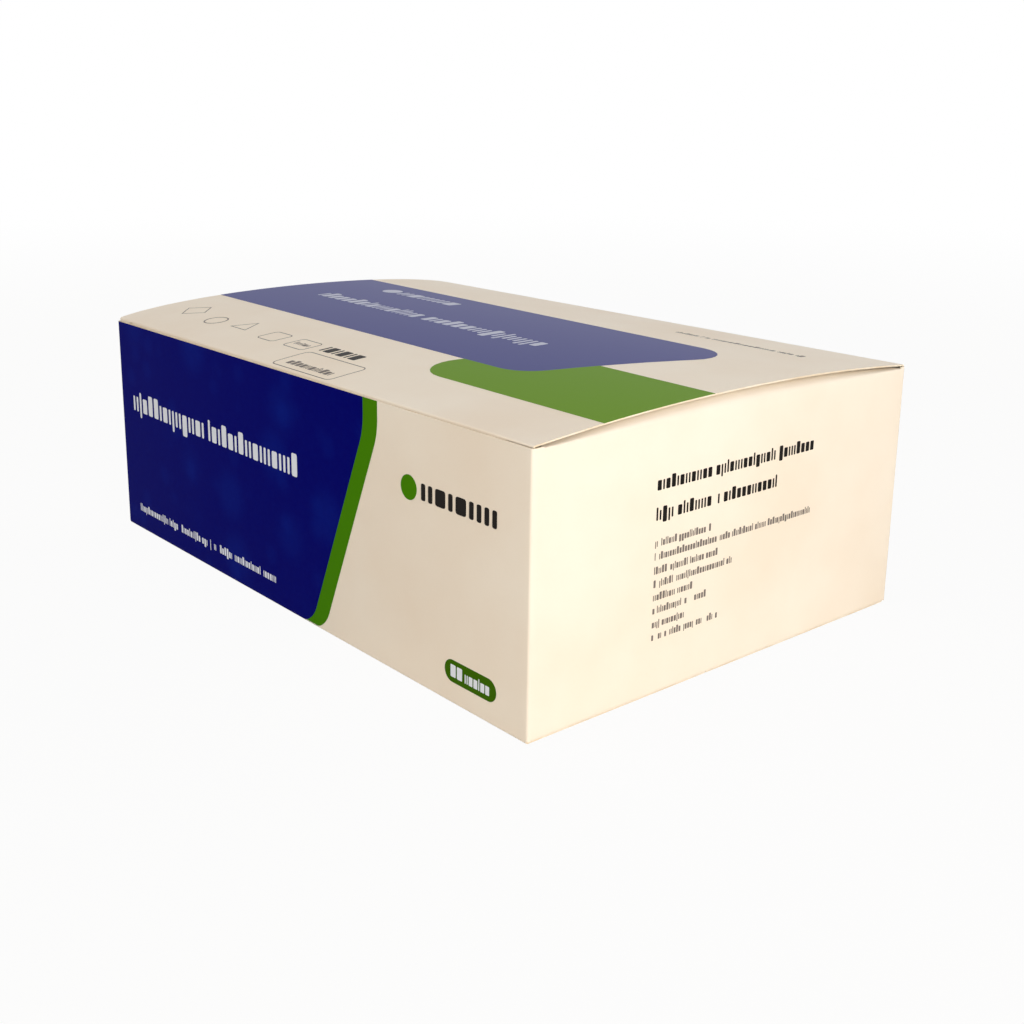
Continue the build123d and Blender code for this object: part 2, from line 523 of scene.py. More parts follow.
def place_piece(
    name: str,
    mesh: bpy.types.Mesh,
    body: Body,
    replaced: tuple[str, ...] = (),
    sharp: float = 35.0,
) -> None:
    """Put a finished mesh in the scene as one piece of a body.

    Args:
        name: the piece's name.
        mesh: its mesh, already in its place.
        body: the body that it moves with.
        replaced: the CAD nodes that it stands for.
        sharp: the angle in degrees from which an edge is drawn sharp.
    """
    for polygon in mesh.polygons:
        polygon.use_smooth = True
    mesh.set_sharp_from_angle(angle=math.radians(sharp))
    piece = bpy.data.objects.new(name, mesh)
    bpy.context.scene.collection.objects.link(piece)
    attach(piece, body.value)
    if replaced:
        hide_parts(*replaced)
    LOG.info("%s: %d faces on %s", name, len(mesh.polygons), body.value)


@dataclass(frozen=True)
class Paperboard:
    """Folding boxboard, matt or coated, with its fibres and its slight unevenness."""

    name: str
    colour: str
    shade: str
    roughness: float
    specular: float
    cloud_size: float = 46.0
    # Real fibres are finer, and are drawn as coarse as they need to be to show
    fibre_size: float = 0.9
    fibre_strength: float = 0.12
    bump_depth: float = 0.012
    less_rough: float = 0.05
    more_rough: float = 0.06

    def build(self) -> bpy.types.Material:
        """Build the material: cloudy colour, speckle of fibres, and a fine bump.

        Returns:
            The material.
        """
        material = bpy.data.materials.new(self.name)
        material.use_nodes = True
        tree = material.node_tree
        shader = tree.nodes["Principled BSDF"]
        shader.inputs["Specular IOR Level"].default_value = self.specular
        where = add_node(tree, "ShaderNodeTexCoord").outputs["Object"]
        clouds = add_node(
            tree,
            "ShaderNodeTexNoise",
            {"Scale": 1 / (self.cloud_size * MM), "Detail": 3.0, "Roughness": 0.55},
            {"Vector": where},
        )
        fibres = add_node(
            tree,
            "ShaderNodeTexNoise",
            {"Scale": 1 / (self.fibre_size * MM), "Detail": 4.0, "Distortion": 1.2},
            {"Vector": where},
        )
        share = add_node(
            tree,
            "ShaderNodeMapRange",
            {"From Min": 0.35, "From Max": 0.7},
            {"Value": clouds.outputs["Fac"]},
        )
        speckle = add_node(
            tree,
            "ShaderNodeMapRange",
            {"From Min": 0.3, "From Max": 0.75, "To Max": self.fibre_strength},
            {"Value": fibres.outputs["Fac"]},
        )
        total = add_node(
            tree,
            "ShaderNodeMath",
            {"operation": "ADD", "use_clamp": True},
            {0: share.outputs["Result"], 1: speckle.outputs["Result"]},
        )
        colour = add_node(
            tree,
            "ShaderNodeMix",
            {"data_type": "RGBA", 6: linear(self.colour), 7: linear(self.shade)},
            {"Factor": total.outputs[0]},
        )
        dullness = add_node(
            tree,
            "ShaderNodeMapRange",
            {
                "To Min": self.roughness - self.less_rough,
                "To Max": self.roughness + self.more_rough,
            },
            {"Value": fibres.outputs["Fac"]},
        )
        bump = add_node(
            tree,
            "ShaderNodeBump",
            {"Strength": 0.5, "Distance": self.bump_depth * MM},
            {"Height": fibres.outputs["Fac"]},
        )
        tree.links.new(colour.outputs[2], shader.inputs["Base Color"])
        tree.links.new(dullness.outputs["Result"], shader.inputs["Roughness"])
        tree.links.new(bump.outputs["Normal"], shader.inputs["Normal"])
        return material


@dataclass(frozen=True)
class OffsetInk:
    """Offset ink under a satin varnish: the screen's faint speckle, and soft lighter discs."""

    name: str
    colour: str
    lighter: str
    roughness: float = 0.42
    specular: float = 0.06
    # The real screen is finer, and its speckle is drawn as coarse as it needs to be to show
    speckle_size: float = 1.1
    speckle_strength: float = 0.08
    disc_size: float = 26.0
    disc_strength: float = 0.0
    small_disc_share: float = 0.45
    small_disc_strength: float = 0.6
    bump_depth: float = 0.006

    def build(self) -> bpy.types.Material:
        """Build the material: speckled ink, its discs where it has them, and a fine bump.

        Returns:
            The material.
        """
        material = bpy.data.materials.new(self.name)
        material.use_nodes = True
        tree = material.node_tree
        shader = tree.nodes["Principled BSDF"]
        shader.inputs["Specular IOR Level"].default_value = self.specular
        shader.inputs["Roughness"].default_value = self.roughness
        where = add_node(tree, "ShaderNodeTexCoord").outputs["Object"]
        speckle = add_node(
            tree,
            "ShaderNodeTexNoise",
            {"Scale": 1 / (self.speckle_size * MM), "Detail": 3.0},
            {"Vector": where},
        )
        share = add_node(
            tree,
            "ShaderNodeMapRange",
            {"From Min": 0.3, "From Max": 0.75, "To Max": self.speckle_strength},
            {"Value": speckle.outputs["Fac"]},
        )
        if self.disc_strength:
            share = self.add_discs(tree, where, share)
        colour = add_node(
            tree,
            "ShaderNodeMix",
            {"data_type": "RGBA", 6: linear(self.colour), 7: linear(self.lighter)},
            {"Factor": share.outputs[0]},
        )
        bump = add_node(
            tree,
            "ShaderNodeBump",
            {"Strength": 0.4, "Distance": self.bump_depth * MM},
            {"Height": speckle.outputs["Fac"]},
        )
        tree.links.new(colour.outputs[2], shader.inputs["Base Color"])
        tree.links.new(bump.outputs["Normal"], shader.inputs["Normal"])
        return material

    def add_discs(
        self, tree: bpy.types.NodeTree, where: bpy.types.NodeSocket, share: bpy.types.Node
    ) -> bpy.types.Node:
        """Add soft lighter discs of several sizes to a share of the lighter ink.

        Args:
            tree: the material's tree.
            where: the Object coordinates.
            share: the node that gives the share so far.

        Returns:
            The node that gives the share with the discs.
        """
        discs = (
            (self.disc_size, 1.0),
            (self.disc_size * self.small_disc_share, self.small_disc_strength),
        )
        for size, strength in discs:
            cells = add_node(
                tree,
                "ShaderNodeTexVoronoi",
                {"Scale": 1 / (size * MM), "Randomness": 1.0},
                {"Vector": where},
            )
            disc = add_node(
                tree,
                "ShaderNodeMapRange",
                {
                    "interpolation_type": "SMOOTHSTEP",
                    "From Min": 0.1,
                    "From Max": 0.42,
                    "To Min": self.disc_strength * strength,
                    "To Max": 0.0,
                },
                {"Value": cells.outputs["Distance"]},
            )
            share = add_node(
                tree,
                "ShaderNodeMath",
                {"operation": "ADD", "use_clamp": True},
                {0: share.outputs[0], 1: disc.outputs[0]},
            )
        return share


class Finishes:
    """Every finish on the carton, built once."""

    def __init__(self) -> None:
        """Build the materials."""
        # Clay-coated side of folding boxboard under a satin varnish: warm white, a little cloudy
        self.coated = Paperboard(
            "clay_coated_boxboard", "f8ebd8", "f3e2cc", roughness=0.42, specular=0.12
        ).build()
        # Uncoated reverse of the board: pulp fibres show, dull and a little greyer
        self.uncoated = Paperboard(
            "uncoated_board_reverse",
            "e6dccb",
            "d8ccb7",
            roughness=0.85,
            specular=0.2,
            fibre_size=1.6,
            fibre_strength=0.35,
            bump_depth=0.03,
        ).build()
        # Die-cut edge of the board: open fibres, no coating, with cloudy patches a little darker
        self.cut_edge = Paperboard(
            "die_cut_board_edge",
            "f7ead4",
            "e6d2b4",
            roughness=0.8,
            specular=0.15,
            cloud_size=9.0,
            fibre_size=0.5,
            fibre_strength=0.3,
            bump_depth=0.03,
        ).build()
        # Deep blue offset ink, its varnish satin, with soft lighter discs in the picture behind
        self.front_blue = OffsetInk(
            "deep_blue_offset_ink",
            "000066",
            "0a2a92",
            specular=0.012,
            roughness=0.5,
            disc_strength=0.22,
        ).build()
        # The lid's copy of the same blue ink is lighter than the front's: part of the lid's grazing
        # sheen is painted into its colour, the rest comes from its higher specular
        self.lid_blue = OffsetInk(
            "blue_offset_ink_lid_with_painted_sheen", "1c2472", "2a3a86", specular=0.13, roughness=0.4
        ).build()
        # Leaf green offset ink under the same varnish
        self.front_green = OffsetInk(
            "leaf_green_offset_ink", "448003", "4e8a0a", specular=0.012, roughness=0.5
        ).build()
        # The lid's copy of the same green ink is lighter than the front's: part of the lid's
        # grazing sheen is painted into its colour, the rest comes from its specular
        self.lid_green = OffsetInk(
            "green_offset_ink_lid_with_painted_sheen", "648e00", "6c9604", specular=0.04
        ).build()
        # White words: the blue plate leaves them out, so the coated board shows
        self.white = OffsetInk("bare_board_in_words", "e9ebf0", "dfe2ea").build()
        self.pale = OffsetInk("pale_words_on_lid", "c4c6d6", "b4b8cc").build()
        # Black plate at full and at part strength
        self.black = OffsetInk("black_offset_ink", "17120f", "262019").build()
        self.grey = OffsetInk("grey_offset_ink", "756c65", "837a72").build()
        # Darker green of the badge, from the blue and the green plate together
        self.dark_green = OffsetInk(
            "dark_green_offset_ink", "3a6403", "427006", specular=0.012, roughness=0.5
        ).build()


@dataclass(frozen=True)
class Lettering:
    """The bars and wider blocks that stand for letters: heights, depth, widths and shares."""

    small: float
    tall: float
    drop: float
    stroke: float
    box: float
    gap: float
    box_share: float = 0.5
    tall_share: float = 0.25
    drop_share: float = 0.06
    space_share: float = 0.0


# Lettering on the front wall
TITLE = Lettering(small=4.9, tall=6.6, drop=1.9, stroke=1.0, box=2.5, gap=1.0)
SUBTITLE = Lettering(
    small=1.9, tall=2.6, drop=0.7, stroke=0.36, box=0.95, gap=0.42, space_share=0.12
)
FRONT_MARK = Lettering(
    small=4.3, tall=4.3, drop=0.0, stroke=1.2, box=2.9, gap=0.9, drop_share=0.0
)
BADGE_LARGE = Lettering(
    small=3.2,
    tall=3.2,
    drop=0.0,
    stroke=0.5,
    box=1.9,
    gap=0.5,
    box_share=1.0,
    tall_share=0.0,
    drop_share=0.0,
)
BADGE_SMALL = Lettering(
    small=2.3, tall=3.0, drop=0.0, stroke=0.38, box=1.45, gap=0.4, drop_share=0.0
)

# Lettering on the right end wall
END_BOLD = Lettering(small=2.5, tall=3.3, drop=0.7, stroke=0.5, box=1.3, gap=0.55, space_share=0.1)
END_FINE = Lettering(
    small=1.4, tall=1.9, drop=0.4, stroke=0.24, box=0.62, gap=0.34, space_share=0.14
)

# Lettering on the lid
LID_TITLE = Lettering(small=5.4, tall=7.2, drop=2.1, stroke=1.05, box=2.7, gap=1.15)
LID_MARK = Lettering(small=5.5, tall=5.5, drop=0.0, stroke=1.1, box=3.6, gap=1.1, drop_share=0.0)
LID_TINY = Lettering(small=1.7, tall=2.2, drop=0.0, stroke=0.35, box=1.2, gap=0.4, drop_share=0.0)
LID_BOXED = Lettering(
    small=2.4, tall=3.1, drop=0.0, stroke=0.45, box=1.6, gap=0.5, space_share=0.1
)
LID_LINE = Lettering(
    small=1.6, tall=2.2, drop=0.5, stroke=0.35, box=1.2, gap=0.4, space_share=0.12
)
LID_DARK = Lettering(small=4.6, tall=4.6, drop=0.0, stroke=0.9, box=3.4, gap=1.0, drop_share=0.0)


@dataclass(frozen=True)
class WordRow:
    """A row of bars and blocks that stands for a line of words."""

    lettering: Lettering
    start: float
    end: float
    baseline: float
    seed: int

    def count(self) -> int:
        """Give how many bars and blocks fill the row.

        Returns:
            Their number, at least 1.
        """
        kind = self.lettering
        step = kind.box_share * kind.box + (1 - kind.box_share) * kind.stroke + kind.gap
        return max(1, round((self.end - self.start) / step))


class WordPrinter:
    """Sets rows of bars and blocks with one Geometry Nodes tree, as flat shapes."""

    # Corner radii, as shares of a bar's width
    BAR_ROUNDING = 0.35
    BLOCK_ROUNDING = 0.5
    CORNER_STEPS = 3

    # What is added to a row's seed for each of its draws, so that they differ from each other
    DRAWS = {"box_share": 101, "tall_share": 202, "drop_share": 303, "space_share": 404}

    def __init__(self, material: bpy.types.Material) -> None:
        """Build the tree.

        Args:
            material: the finish of the rows.
        """
        self.material = material
        self.tree = bpy.data.node_groups.new("word_row", "GeometryNodeTree")
        self.build_tree()

    def build_tree(self) -> None:
        """Build the tree: points set side by side, with a bar or a wider block on each."""
        tree = self.tree
        kinds = {"count": "NodeSocketInt", "seed": "NodeSocketInt"}
        kinds |= {part.name: "NodeSocketFloat" for part in fields(Lettering)}
        for name, kind in kinds.items():
            tree.interface.new_socket(name, in_out="INPUT", socket_type=kind)
        tree.interface.new_socket("Geometry", in_out="OUTPUT", socket_type="NodeSocketGeometry")
        given = add_node(tree, "NodeGroupInput").outputs
        placed, size, is_box, is_space = self.place_points(given)
        rows = add_node(tree, "GeometryNodeJoinGeometry")
        for width, rounding, operation in (
            (given["stroke"], self.BAR_ROUNDING, "NOR"),
            (given["box"], self.BLOCK_ROUNDING, "NIMPLY"),
        ):
            outline = add_node(
                tree,
                "GeometryNodeCurvePrimitiveQuadrilateral",
                links={"Width": width, "Height": given["small"]},
            )
            radius = add_node(
                tree,
                "ShaderNodeMath",
                {"operation": "MULTIPLY", 1: rounding},
                {0: given["stroke"]},
            )
            softened = add_node(
                tree,
                "GeometryNodeFilletCurve",
                {"mode": "POLY", "Count": self.CORNER_STEPS, "Limit Radius": True},
                {"Curve": outline.outputs[0], "Radius": radius.outputs[0]},
            )
            shape = add_node(
                tree, "GeometryNodeFillCurve", {"mode": "NGONS"}, {"Curve": softened.outputs[0]}
            )
            wanted = add_node(
                tree, "FunctionNodeBooleanMath", {"operation": operation}, {0: is_box, 1: is_space}
            )
            row = add_node(
                tree,
                "GeometryNodeInstanceOnPoints",
                links={
                    "Points": placed,
                    "Selection": wanted.outputs[0],
                    "Instance": shape.outputs[0],
                    "Scale": size,
                },
            )
            tree.links.new(row.outputs[0], rows.inputs[0])
        real = add_node(tree, "GeometryNodeRealizeInstances", links={"Geometry": rows.outputs[0]})
        dressed = add_node(
            tree,
            "GeometryNodeSetMaterial",
            {"Material": self.material},
            {"Geometry": real.outputs[0]},
        )
        add_node(tree, "NodeGroupOutput", links={"Geometry": dressed.outputs[0]})

    def place_points(
        self, given: bpy.types.bpy_prop_collection
    ) -> tuple[bpy.types.NodeSocket, ...]:
        """Add the part of the tree that places the row's points and draws what stands there.

        Args:
            given: the tree's inputs.

        Returns:
            Outputs: the points, each one's stretch, whether it has a block, and whether it is bare.
        """
        tree = self.tree
        draws = []
        for name, more in self.DRAWS.items():
            seed = add_node(
                tree, "ShaderNodeMath", {"operation": "ADD", 1: float(more)}, {0: given["seed"]}
            )
            draw = add_node(
                tree,
                "FunctionNodeRandomValue",
                {"data_type": "BOOLEAN"},
                {"Probability": given[name], "Seed": seed.outputs[0]},
            )
            draws.append(draw.outputs[3])
        is_box, is_tall, is_low, is_space = draws
        small = given["small"]
        width, top, drop = (
            add_node(tree, "GeometryNodeSwitch", {"input_type": "FLOAT"}, links).outputs[0]
            for links in (
                {"Switch": is_box, "False": given["stroke"], "True": given["box"]},
                {"Switch": is_tall, "False": small, "True": given["tall"]},
                {"Switch": is_low, "True": given["drop"]},
            )
        )
        step = add_node(tree, "ShaderNodeMath", {"operation": "ADD"}, {0: width, 1: given["gap"]})
        run = add_node(
            tree,
            "GeometryNodeAccumulateField",
            {"data_type": "FLOAT"},
            {"Value": step.outputs[0]},
        )
        half = add_node(tree, "ShaderNodeMath", {"operation": "MULTIPLY", 1: 0.5}, {0: width})
        right = add_node(
            tree,
            "ShaderNodeMath",
            {"operation": "ADD"},
            {0: run.outputs["Trailing"], 1: half.outputs[0]},
        )
        rise = add_node(tree, "ShaderNodeMath", {"operation": "SUBTRACT"}, {0: top, 1: drop})
        up = add_node(
            tree, "ShaderNodeMath", {"operation": "MULTIPLY", 1: 0.5}, {0: rise.outputs[0]}
        )
        place = add_node(
            tree, "ShaderNodeCombineXYZ", links={"X": right.outputs[0], "Y": up.outputs[0]}
        )
        line = add_node(tree, "GeometryNodeMeshLine", {"mode": "OFFSET"}, {"Count": given["count"]})
        placed = add_node(
            tree,
            "GeometryNodeSetPosition",
            links={"Geometry": line.outputs[0], "Position": place.outputs[0]},
        )
        height = add_node(tree, "ShaderNodeMath", {"operation": "ADD"}, {0: top, 1: drop})
        stretch = add_node(
            tree, "ShaderNodeMath", {"operation": "DIVIDE"}, {0: height.outputs[0], 1: small}
        )
        size = add_node(
            tree, "ShaderNodeCombineXYZ", {"X": 1.0, "Z": 1.0}, {"Y": stretch.outputs[0]}
        )
        return placed.outputs[0], size.outputs[0], is_box, is_space

    def set_row(self, row: WordRow) -> Flat:
        """Set one row.

        Args:
            row: the row's lettering, place and seed.

        Returns:
            Its shapes, drawn out to the row's two ends.
        """
        holder = bpy.data.objects.new("row", bpy.data.meshes.new("row"))
        bpy.context.scene.collection.objects.link(holder)
        modifier = holder.modifiers.new("row", "NODES")
        modifier.node_group = self.tree
        values = {"count": row.count(), "seed": row.seed, **asdict(row.lettering)}
        for socket in self.tree.interface.items_tree:
            if socket.in_out == "INPUT":
                modifier[socket.identifier] = values[socket.name]
        mesh = settle(holder, "row")
        faces = [list(polygon.vertices) for polygon in mesh.polygons]
        if mesh.polygons[0].normal.z < 0:
            faces = [list(reversed(face)) for face in faces]
        left = min(corner.co.x for corner in mesh.vertices)
        right = max(corner.co.x for corner in mesh.vertices)
        scale = (row.end - row.start) / (right - left)
        points = [
            (row.start + (corner.co.x - left) * scale, row.baseline + corner.co.y)
            for corner in mesh.vertices
        ]
        bpy.data.meshes.remove(mesh)
        return Flat(points, faces)


@dataclass
class PrintLayer:
    """One colour of print on one surface: flat shapes laid down as closed films."""

    name: str
    body: Body
    surface: Surface
    material: bpy.types.Material
    level: Level
    slot: Slot | None = None
    replaced: tuple[str, ...] = ()
    flat: Flat = field(default_factory=Flat)

    def set_rows(self, rows: Iterable[WordRow]) -> None:
        """Take in rows of words in the layer's finish.

        Args:
            rows: their lettering, places and seeds.
        """
        printer = WordPrinter(self.material)
        for row in rows:
            self.flat.add(printer.set_row(row))

    def lay(self) -> None:
        """Make the layer's piece."""
        points, faces = film(self.flat, self.surface, self.level)
        mesh = make_mesh(self.name, points, faces)
        mesh.materials.append(self.material)
        place_piece(self.name, mesh, self.body, self.replaced, sharp=50.0)


def along_lid(ends: Point, x: float) -> float:
    """Give a value at one X of the lid, from its values at the left and the right end."""
    share = min(1.0, max(0.0, (x + LID_HALF_LENGTH) / (2 * LID_HALF_LENGTH)))
    return ends[0] + (ends[1] - ends[0]) * share


def lid_curve(x: float, offset: float) -> list[Point]:
    """Give the lid panel's curve from front to back.

    Args:
        x: the place along the lid.
        offset: height above the panel's underside.

    Returns:
        Four control points, as Y and Z.
    """
    front = (LID_FRONT_Y, HEIGHT + along_lid(LID_LIFT, x) + offset)
    back = (HINGE_Y, HINGE_Z - BOARD / 2 + offset)
    return bow_points(front, back, along_lid(LID_BOW, x), along_lid(LID_SHOULDER, x))


def on_lid(x: float, y: float, level: float) -> Place:
    """Give the place on the lid above a point of the plan."""
    return x, y, bezier_height(lid_curve(x, BOARD), y) + level


def on_front(x: float, z: float, level: float) -> Place:
    """Give the place on the front wall, its round creases at both sides and the bottom included.

    Args:
        x: the place along the wall.
        z: the height.
        level: how far outside the wall it lies.

    Returns:
        The place.
    """
    crease = CREASE_RADIUS - Level.BOARD.value
    across = max(0.0, abs(x) - (HALF_LENGTH - crease))
    down = max(0.0, crease - z)
    reach = (crease + level) ** 2 - across**2 - down**2
    return x, -HALF_WIDTH + crease - math.sqrt(max(reach, 0.0)), z


def on_end(y: float, z: float, level: float) -> Place:
    """Give the place on the right end wall."""
    return HALF_LENGTH + level, y, z


def thicken_board(
    sheet: Sheet, thickness: float, name: str, finishes: Finishes
) -> bpy.types.Mesh:
    """Give a board's outer side its thickness, its reverse and its cut edges.

    Args:
        sheet: the outer side.
        thickness: the board's thickness.
        name: the mesh's name.
        finishes: where the board's three finishes come from.

    Returns:
        The closed mesh.
    """
    mesh = make_mesh(name, sheet.points, sheet.faces)
    for material in (finishes.coated, finishes.uncoated, finishes.cut_edge):
        mesh.materials.append(material)
    holder = bpy.data.objects.new(name, mesh)
    bpy.context.scene.collection.objects.link(holder)
    board = holder.modifiers.new("board", "SOLIDIFY")
    board.thickness = thickness * MM
    board.offset = -1.0
    board.use_even_offset = True
    board.material_offset = 1
    board.material_offset_rim = 2
    return settle(holder, name)


@dataclass
class CartonBody:
    """The open box: four walls, the dust flaps, the crash-lock bottom and the glue seam."""

    finishes: Finishes
    bottom_layer: float = 0.53
    seam_width: float = 0.4
    seam_step: float = 16.0
    seam_step_length: float = 28.0
    end_flap_length: float = 58.0
    end_flap_tip: float = 45.5
    tongue_half_length: float = 37.0
    tongue_half_width: float = 12.0
    glue_tab_width: float = 14.0
    glue_tab_taper: float = 4.0
    glue_tab_low: float = 2.5
    glue_tab_gap: float = 0.02
    hinge_rise: float = 0.2
    dust_length: float = 62.0
    dust_front_gap: float = 3.0
    dust_back_gap: float = 1.5
    dust_taper: float = 9.0
    dust_corner: float = 9.0
    dust_bend: float = 6.5
    dust_lid_gap: float = 0.35
    dust_columns: int = 30
    dust_bend_steps: int = 8
    dust_corner_steps: int = 6
    dust_step: float = 6.0
    support: float = 1.2
    low_support: float = 3.5
    rim_support: float = 1.5

    def __post_init__(self) -> None:
        """Work out the places that follow from the sizes."""
        self.outer_x = HALF_LENGTH + Level.BOARD.value
        self.outer_y = HALF_WIDTH + Level.BOARD.value
        self.flat_x = self.outer_x - CREASE_RADIUS
        self.flat_y = self.outer_y - CREASE_RADIUS
        self.fold_z = CREASE_RADIUS
        self.end_fold_z = CREASE_RADIUS + self.bottom_layer
        self.root_z = HEIGHT - BOARD / 2
        self.rows = [
            self.fold_z,
            self.end_fold_z,
            self.low_support,
            HEIGHT - self.rim_support,
            self.root_z,
            HEIGHT,
        ]
        self.sheet = Sheet()

    def build(self) -> None:
        """Build the box as one piece."""
        self.add_long_walls()
        self.add_corners()
        self.add_end_walls()
        self.add_bottom()
        self.add_glue_tab()
        mesh = thicken_board(self.sheet, BOARD, "carton_board", self.finishes)
        place_piece("carton_board", mesh, Body.CARTON, ("carton_body",))

    def long_columns(self) -> list[float]:
        """Give the columns of the long walls, from left to right.

        Returns:
            Their places, X.
        """
        half = self.seam_step_length / 2
        return [
            -self.flat_x,
            -self.flat_x + self.support,
            -half,
            half,
            self.flat_x - self.support,
            self.flat_x,
        ]

    def add_long_walls(self) -> None:
        """Add the front and the back wall, each with its half of the bottom."""
        for side in (-1, 1):
            columns = [-side * x for x in self.long_columns()]
            seam = [self.seam_y(x) + side * self.seam_width / 2 for x in columns]
            fold = []
            for step in range(CREASE_STEPS + 1):
                angle = step / CREASE_STEPS * math.pi / 2
                y = side * (self.flat_y + CREASE_RADIUS * math.sin(angle))
                fold.append((y, CREASE_RADIUS * (1 - math.cos(angle))))
            rows = [[(x, y, 0.0) for x, y in zip(columns, seam)]]
            rows.append([(x, side * (self.flat_y - self.support), 0.0) for x in columns])
            rows += [[(x, y, z) for x in columns] for y, z in fold]
            heights = [*self.rows[1:-1], self.rim_z(side)]
            rows += [[(x, side * self.outer_y, z) for x in columns] for z in heights]
            self.sheet.patch(rows)

    def seam_y(self, x: float) -> float:
        """Give the bottom seam's Y at one X.

        Args:
            x: the place along the box.

        Returns:
            The seam's Y.
        """
        half = self.seam_step_length / 2
        share = max(-1.0, min(1.0, x / half))
        return -share * self.seam_step / 2

    def add_corners(self) -> None:
        """Add the four round upright creases."""
        for side_x, side_y, turn in ((1, -1, -90), (1, 1, 0), (-1, 1, 90), (-1, -1, 180)):
            columns = []
            for step in range(CREASE_STEPS + 1):
                angle = math.radians(turn + 90 * step / CREASE_STEPS)
                x = side_x * self.flat_x + CREASE_RADIUS * math.cos(angle)
                y = side_y * self.flat_y + CREASE_RADIUS * math.sin(angle)
                columns.append((x, y))
            heights = [*self.rows[:-1], self.rim_z(side_y)]
            self.sheet.patch([[(x, y, z) for x, y in columns] for z in heights])

    def rim_z(self, y: float) -> float:
        """Give the height of the walls' top edge, which is raised beside the hinge."""
        return HEIGHT + (self.hinge_rise if y > 0 else 0.0)

    def dust_edges(self, distance: float) -> Point:
        """Give a dust flap's front and back edge at one distance in from its wall.

        Args:
            distance: how far in from the end wall.

        Returns:
            The front edge's Y and the back edge's Y.
        """
        taper = self.dust_taper * distance / self.dust_length
        front = -HALF_WIDTH + BOARD + self.dust_front_gap + taper
        back = HALF_WIDTH - BOARD - self.dust_back_gap - taper
        return front, back

    def dust_row(self, side: int, distance: float, raised: float) -> list[Place]:
        """Give a row of points across a dust flap.

        Args:
            side: -1 at the left end, 1 at the right end.
            distance: how far in from the end wall.
            raised: 0 at the wall's top, 1 under the lid.

        Returns:
            Points from front to back.
        """
        x = side * (HALF_LENGTH - distance)
        front_y, back_y = self.dust_edges(distance)
        over = lid_curve(x, -self.dust_lid_gap)
        front = (front_y, self.root_z + (over[0][1] - self.root_z) * raised)
        back = (back_y, self.root_z + (over[-1][1] - self.root_z) * raised)
        bow = along_lid(LID_BOW, x) * raised
        curve = bow_points(front, back, bow, along_lid(LID_SHOULDER, x))
        inwards = max(0.0, distance - (self.dust_length - self.dust_corner))
        trim = self.dust_corner - math.sqrt(self.dust_corner**2 - inwards**2)
        low, high = front_y + trim, back_y - trim
        nearest = 1e-6
        places = []
        for column in range(self.dust_columns + 1):
            y = low + (high - low) * column / self.dust_columns
            z = bezier_height(curve, min(max(y, front_y + nearest), back_y - nearest))
            places.append((x, y, z))
        return places

    def add_end_walls(self) -> None:
        """Add both end walls, each with its dust flap and its bottom flap."""
        inset = -Level.BOARD.value
        for side in (-1, 1):
            root = [place[1] for place in self.dust_row(side, inset, 0.0)]
            ends = [-self.flat_y, -self.flat_y + self.support]
            columns = ends + root + [self.flat_y]
            wall = [[(side * self.outer_x, y, z) for y in columns] for z in self.rows[1:-1]]
            wall.append([(side * self.outer_x, y, self.rim_z(y)) for y in columns])
            flap = self.dust_rows(side, inset)
            # The wall's last row of cells is the one beside the dust flap's root
            last = len(self.rows) - 3
            first_flap, last_flap = len(ends), len(ends) + len(root) - 1

            def under_flap(row: int, column: int) -> bool:
                """Say whether the wall's last cells give way to the dust flap."""
                return row == last and first_flap <= column < last_flap

            fold = []
            for step in range(CREASE_STEPS + 1):
                angle = step / CREASE_STEPS * math.pi / 2
                x = side * (self.flat_x + CREASE_RADIUS * math.sin(angle))
                fold.append((x, self.bottom_layer + CREASE_RADIUS * (1 - math.cos(angle))))
            tip = self.end_flap_tip / self.flat_y
            bottom = [
                [
                    (side * (HALF_LENGTH - self.end_flap_length), y * tip, self.bottom_layer)
                    for y in columns
                ]
            ]
            bottom += [[(x, y, z) for y in columns] for x, z in fold]
            if side < 0:
                wall = [list(reversed(row)) for row in wall]
                flap = [list(reversed(row)) for row in flap]
                bottom = [list(reversed(row)) for row in bottom]
                count = len(columns) - 1
                first_flap, last_flap = count - last_flap, count - first_flap
            self.sheet.patch(wall, under_flap)
            self.sheet.patch(flap)
            self.sheet.patch(bottom)

    def dust_rows(self, side: int, inset: float) -> list[list[Place]]:
        """Give a dust flap's rows: the round fold, the flat part and the round corners.

        Args:
            side: -1 at the left end, 1 at the right end.
            inset: how far in the first row lies.

        Returns:
            Its rows of points, from the wall inwards.
        """
        rows = []
        for step in range(self.dust_bend_steps + 1):
            angle = step / self.dust_bend_steps * math.pi / 2
            distance = inset + (self.dust_bend - inset) * (1 - math.cos(angle))
            rows.append(self.dust_row(side, distance, math.sin(angle)))
        straight = self.dust_length - self.dust_corner
        for distance in [*spread(self.dust_bend, straight, self.dust_step), straight]:
            rows.append(self.dust_row(side, distance, 1.0))
        for step in range(1, self.dust_corner_steps + 1):
            turn = math.sin(step / self.dust_corner_steps * math.pi / 2)
            rows.append(self.dust_row(side, straight + self.dust_corner * turn, 1.0))
        return rows

    def add_bottom(self) -> None:
        """Add the tongue that locks the long bottom flaps."""
        half_x, half_y = self.tongue_half_length, self.tongue_half_width
        self.sheet.patch(
            [[(x, y, self.bottom_layer) for x in (-half_x, half_x)] for y in (half_y, -half_y)]
        )

    def add_glue_tab(self) -> None:
        """Add the tab that glues the back wall inside the left end wall."""
        x = -self.outer_x + BOARD + self.glue_tab_gap
        near = self.outer_y - BOARD
        far = near - self.glue_tab_width
        low, high = self.glue_tab_low, HEIGHT - self.glue_tab_low
        taper = self.glue_tab_taper
        self.sheet.patch(
            [[(x, near, low), (x, far, low + taper)], [(x, near, high), (x, far, high - taper)]]
        )


